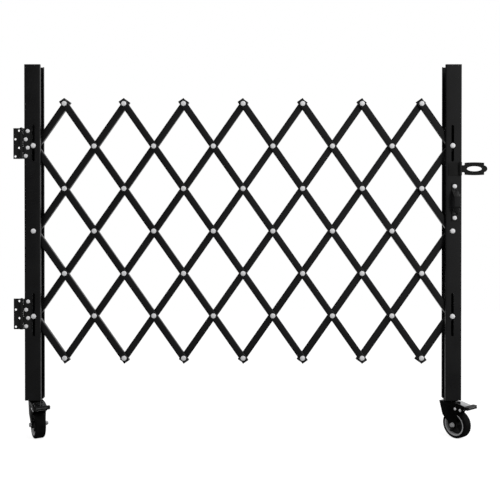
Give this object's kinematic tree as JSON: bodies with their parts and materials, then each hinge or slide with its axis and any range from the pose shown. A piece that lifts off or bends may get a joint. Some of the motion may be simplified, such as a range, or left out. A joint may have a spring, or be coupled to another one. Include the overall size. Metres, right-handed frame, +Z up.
{
  "type": "folding security gate",
  "caption": "Black steel scissor gate between two slotted channel posts, hinged to a wall, with swivel casters, foot brakes, a pull handle and a slotted hasp.",
  "frame": {"origin": "centre of the screw holes on the back face of the lower wall leaf", "axes": "+X along the gate from the hinge side to the free side, -Y to the front, +Z up"},
  "size_m": [1.543, 0.1231, 1.2184],
  "materials": {
    "black_powder_coat": "satin black powder coat on steel",
    "zinc_plate": "bright zinc plate",
    "black_hinge": "black powder coat on pressed steel",
    "black_caster_steel": "gloss black paint on pressed steel",
    "pedal_steel": "dull zinc plate",
    "rim_plastic": "moulded grey nylon",
    "tyre_rubber": "moulded black rubber"
  },
  "bodies": {
    "wall_side": {"lower_wall_leaf": "black_hinge", "upper_wall_leaf": "black_hinge", "lower_hinge_pin": "black_hinge", "upper_hinge_pin": "black_hinge"},
    "hinge_post": {"left_post": "black_powder_coat", "lower_post_leaf": "black_hinge", "upper_post_leaf": "black_hinge", "hinge_screws": "zinc_plate", "left_caster_plate": "black_caster_steel", "left_king_pin": "zinc_plate"},
    "free_post": {"right_post": "black_powder_coat", "pull_handle": "black_powder_coat", "handle_bolts": "zinc_plate", "hasp_base": "black_powder_coat", "hasp_pin": "zinc_plate", "right_caster_plate": "black_caster_steel", "right_king_pin": "zinc_plate"},
    "hasp_arm": {"hasp_arm": "black_powder_coat"},
    "front_bar_01": {"front_bar_01": "black_powder_coat", "front_bar_01_rivets": "zinc_plate"},
    "front_bar_02": {"front_bar_02": "black_powder_coat", "front_bar_02_rivets": "zinc_plate"},
    "front_bar_03": {"front_bar_03": "black_powder_coat", "front_bar_03_rivets": "zinc_plate"},
    "front_bar_04": {"front_bar_04": "black_powder_coat", "front_bar_04_rivets": "zinc_plate"},
    "front_bar_05": {"front_bar_05": "black_powder_coat", "front_bar_05_rivets": "zinc_plate"},
    "front_bar_06": {"front_bar_06": "black_powder_coat", "front_bar_06_rivets": "zinc_plate"},
    "front_bar_07": {"front_bar_07": "black_powder_coat", "front_bar_07_rivets": "zinc_plate"},
    "front_bar_08": {"front_bar_08": "black_powder_coat", "front_bar_08_rivets": "zinc_plate"},
    "front_bar_09": {"front_bar_09": "black_powder_coat", "front_bar_09_rivets": "zinc_plate"},
    "front_bar_10": {"front_bar_10": "black_powder_coat", "front_bar_10_rivets": "zinc_plate"},
    "rear_bar_01": {"rear_bar_01": "black_powder_coat"},
    "rear_bar_02": {"rear_bar_02": "black_powder_coat"},
    "rear_bar_03": {"rear_bar_03": "black_powder_coat"},
    "rear_bar_04": {"rear_bar_04": "black_powder_coat"},
    "rear_bar_05": {"rear_bar_05": "black_powder_coat"},
    "rear_bar_06": {"rear_bar_06": "black_powder_coat"},
    "rear_bar_07": {"rear_bar_07": "black_powder_coat"},
    "rear_bar_08": {"rear_bar_08": "black_powder_coat"},
    "rear_bar_09": {"rear_bar_09": "black_powder_coat"},
    "rear_bar_10": {"rear_bar_10": "black_powder_coat"},
    "left_swivel": {"left_caster_fork": "black_caster_steel", "left_wheel_axle": "zinc_plate", "left_brake_pins": "zinc_plate"},
    "left_wheel": {"left_wheel_hub": "rim_plastic", "left_wheel_tyre": "tyre_rubber"},
    "left_brake": {"left_brake_pedal": "pedal_steel"},
    "right_swivel": {"right_caster_fork": "black_caster_steel", "right_wheel_axle": "zinc_plate", "right_brake_pins": "zinc_plate"},
    "right_wheel": {"right_wheel_hub": "rim_plastic", "right_wheel_tyre": "tyre_rubber"},
    "right_brake": {"right_brake_pedal": "pedal_steel"}
  },
  "joints": [
    {"name": "gate_swing", "type": "hinge", "parent": "wall_side", "child": "hinge_post", "pos_m": [0.0145, -0.005, 0], "axis": [0, 0, -1], "range_deg": [0, 150]},
    {"name": "lattice_fold", "type": "hinge", "parent": "hinge_post", "child": "rear_bar_02", "pos_m": [0.0517, 0, 0.27], "axis": [0, -1, 0], "range_deg": [-10.3, 29.5]},
    {"name": "front_bar_02_fold", "type": "hinge", "parent": "hinge_post", "child": "front_bar_02", "pos_m": [0.0517, 0, 0.27], "axis": [0, -1, 0], "range_deg": [-29.51, 10.31]},
    {"name": "front_bar_05_fold", "type": "hinge", "parent": "rear_bar_02", "child": "front_bar_05", "pos_m": [0.34452, 0, 0.68756], "axis": [0, -1, 0], "range_deg": [-59.01, 20.61]},
    {"name": "front_bar_03_fold", "type": "hinge", "parent": "rear_bar_02", "child": "front_bar_03", "pos_m": [0.1493, 0, 0.40919], "axis": [0, -1, 0], "range_deg": [-59.01, 20.61]},
    {"name": "front_bar_04_fold", "type": "hinge", "parent": "rear_bar_02", "child": "front_bar_04", "pos_m": [0.24691, 0, 0.54837], "axis": [0, -1, 0], "range_deg": [-59.01, 20.61]},
    {"name": "rear_bar_03_fold", "type": "hinge", "parent": "front_bar_02", "child": "rear_bar_03", "pos_m": [0.1493, 0, 0.13081], "axis": [0, -1, 0], "range_deg": [-20.61, 59.01]},
    {"name": "rear_bar_04_fold", "type": "hinge", "parent": "front_bar_02", "child": "rear_bar_04", "pos_m": [0.24691, 0, -0.00838], "axis": [0, -1, 0], "range_deg": [-20.61, 59.01]},
    {"name": "rear_bar_05_fold", "type": "hinge", "parent": "front_bar_02", "child": "rear_bar_05", "pos_m": [0.34452, 0, -0.14756], "axis": [0, -1, 0], "range_deg": [-20.61, 59.01]},
    {"name": "front_bar_01_fold", "type": "hinge", "parent": "rear_bar_03", "child": "front_bar_01", "pos_m": [0.0517, 0, -0.00838], "axis": [0, -1, 0], "range_deg": [-59.01, 20.61]},
    {"name": "rear_bar_01_fold", "type": "hinge", "parent": "front_bar_03", "child": "rear_bar_01", "pos_m": [0.0517, 0, 0.54837], "axis": [0, -1, 0], "range_deg": [-20.61, 59.01]},
    {"name": "rear_bar_06_fold", "type": "hinge", "parent": "front_bar_05", "child": "rear_bar_06", "pos_m": [0.73494, 0, 0.13081], "axis": [0, -1, 0], "range_deg": [-20.61, 59.01]},
    {"name": "rear_bar_07_fold", "type": "hinge", "parent": "front_bar_05", "child": "rear_bar_07", "pos_m": [0.83254, 0, -0.00838], "axis": [0, -1, 0], "range_deg": [-20.61, 59.01]},
    {"name": "rear_bar_08_fold", "type": "hinge", "parent": "front_bar_05", "child": "rear_bar_08", "pos_m": [0.93015, 0, -0.14756], "axis": [0, -1, 0], "range_deg": [-20.61, 59.01]},
    {"name": "front_bar_06_fold", "type": "hinge", "parent": "rear_bar_08", "child": "front_bar_06", "pos_m": [1.02775, 0, -0.00838], "axis": [0, -1, 0], "range_deg": [-59.01, 20.61]},
    {"name": "front_bar_07_fold", "type": "hinge", "parent": "rear_bar_08", "child": "front_bar_07", "pos_m": [1.12536, 0, 0.13081], "axis": [0, -1, 0], "range_deg": [-59.01, 20.61]},
    {"name": "front_bar_08_fold", "type": "hinge", "parent": "rear_bar_08", "child": "front_bar_08", "pos_m": [1.22296, 0, 0.27], "axis": [0, -1, 0], "range_deg": [-59.01, 20.61]},
    {"name": "front_bar_09_fold", "type": "hinge", "parent": "rear_bar_08", "child": "front_bar_09", "pos_m": [1.32057, 0, 0.40919], "axis": [0, -1, 0], "range_deg": [-59.01, 20.61]},
    {"name": "front_bar_10_fold", "type": "hinge", "parent": "rear_bar_08", "child": "front_bar_10", "pos_m": [1.41817, 0, 0.54837], "axis": [0, -1, 0], "range_deg": [-59.01, 20.61]},
    {"name": "rear_bar_09_fold", "type": "hinge", "parent": "front_bar_09", "child": "rear_bar_09", "pos_m": [1.41817, 0, 0.27], "axis": [0, -1, 0], "range_deg": [-20.61, 59.01]},
    {"name": "rear_bar_10_fold", "type": "hinge", "parent": "front_bar_08", "child": "rear_bar_10", "pos_m": [1.41817, 0, -0.00838], "axis": [0, -1, 0], "range_deg": [-20.61, 59.01]},
    {"name": "free_post_fold", "type": "hinge", "parent": "front_bar_09", "child": "free_post", "pos_m": [1.41817, 0, 0.27], "axis": [0, -1, 0], "range_deg": [-10.31, 29.51]},
    {"name": "hasp_swing", "type": "hinge", "parent": "free_post", "child": "hasp_arm", "pos_m": [1.44217, -0.0048, 0.473], "axis": [0, 0, -1], "range_deg": [0, 160]},
    {"name": "left_caster_swivel", "type": "hinge", "parent": "hinge_post", "child": "left_swivel", "pos_m": [0.0527, 0.025, -0.295], "axis": [0, 0, 1], "continuous": true},
    {"name": "left_wheel_turn", "type": "hinge", "parent": "left_swivel", "child": "left_wheel", "pos_m": [0.06585, 0.00028, -0.36], "axis": [-0.8829, -0.4695, 0], "continuous": true},
    {"name": "left_brake_press", "type": "hinge", "parent": "left_swivel", "child": "left_brake", "pos_m": [0.07007, -0.00767, -0.3062], "axis": [0.8829, 0.4695, 0], "range_deg": [0, 12]},
    {"name": "right_caster_swivel", "type": "hinge", "parent": "free_post", "child": "right_swivel", "pos_m": [1.41717, 0.025, -0.295], "axis": [0, 0, 1], "continuous": true},
    {"name": "right_wheel_turn", "type": "hinge", "parent": "right_swivel", "child": "right_wheel", "pos_m": [1.43402, 0.00264, -0.36], "axis": [-0.7986, -0.6018, 0], "continuous": true},
    {"name": "right_brake_press", "type": "hinge", "parent": "right_swivel", "child": "right_brake", "pos_m": [1.43944, -0.00455, -0.3062], "axis": [0.7986, 0.6018, 0], "range_deg": [0, 12]}
  ],
  "couplings": [
    {"joint": "front_bar_02_fold", "follows": "lattice_fold", "ratio": -1},
    {"joint": "front_bar_05_fold", "follows": "lattice_fold", "ratio": -2},
    {"joint": "front_bar_03_fold", "follows": "lattice_fold", "ratio": -2},
    {"joint": "front_bar_04_fold", "follows": "lattice_fold", "ratio": -2},
    {"joint": "rear_bar_03_fold", "follows": "lattice_fold", "ratio": 2},
    {"joint": "rear_bar_04_fold", "follows": "lattice_fold", "ratio": 2},
    {"joint": "rear_bar_05_fold", "follows": "lattice_fold", "ratio": 2},
    {"joint": "front_bar_01_fold", "follows": "lattice_fold", "ratio": -2},
    {"joint": "rear_bar_01_fold", "follows": "lattice_fold", "ratio": 2},
    {"joint": "rear_bar_06_fold", "follows": "lattice_fold", "ratio": 2},
    {"joint": "rear_bar_07_fold", "follows": "lattice_fold", "ratio": 2},
    {"joint": "rear_bar_08_fold", "follows": "lattice_fold", "ratio": 2},
    {"joint": "front_bar_06_fold", "follows": "lattice_fold", "ratio": -2},
    {"joint": "front_bar_07_fold", "follows": "lattice_fold", "ratio": -2},
    {"joint": "front_bar_08_fold", "follows": "lattice_fold", "ratio": -2},
    {"joint": "front_bar_09_fold", "follows": "lattice_fold", "ratio": -2},
    {"joint": "front_bar_10_fold", "follows": "lattice_fold", "ratio": -2},
    {"joint": "rear_bar_09_fold", "follows": "lattice_fold", "ratio": 2},
    {"joint": "rear_bar_10_fold", "follows": "lattice_fold", "ratio": 2},
    {"joint": "free_post_fold", "follows": "lattice_fold", "ratio": 1}
  ]
}
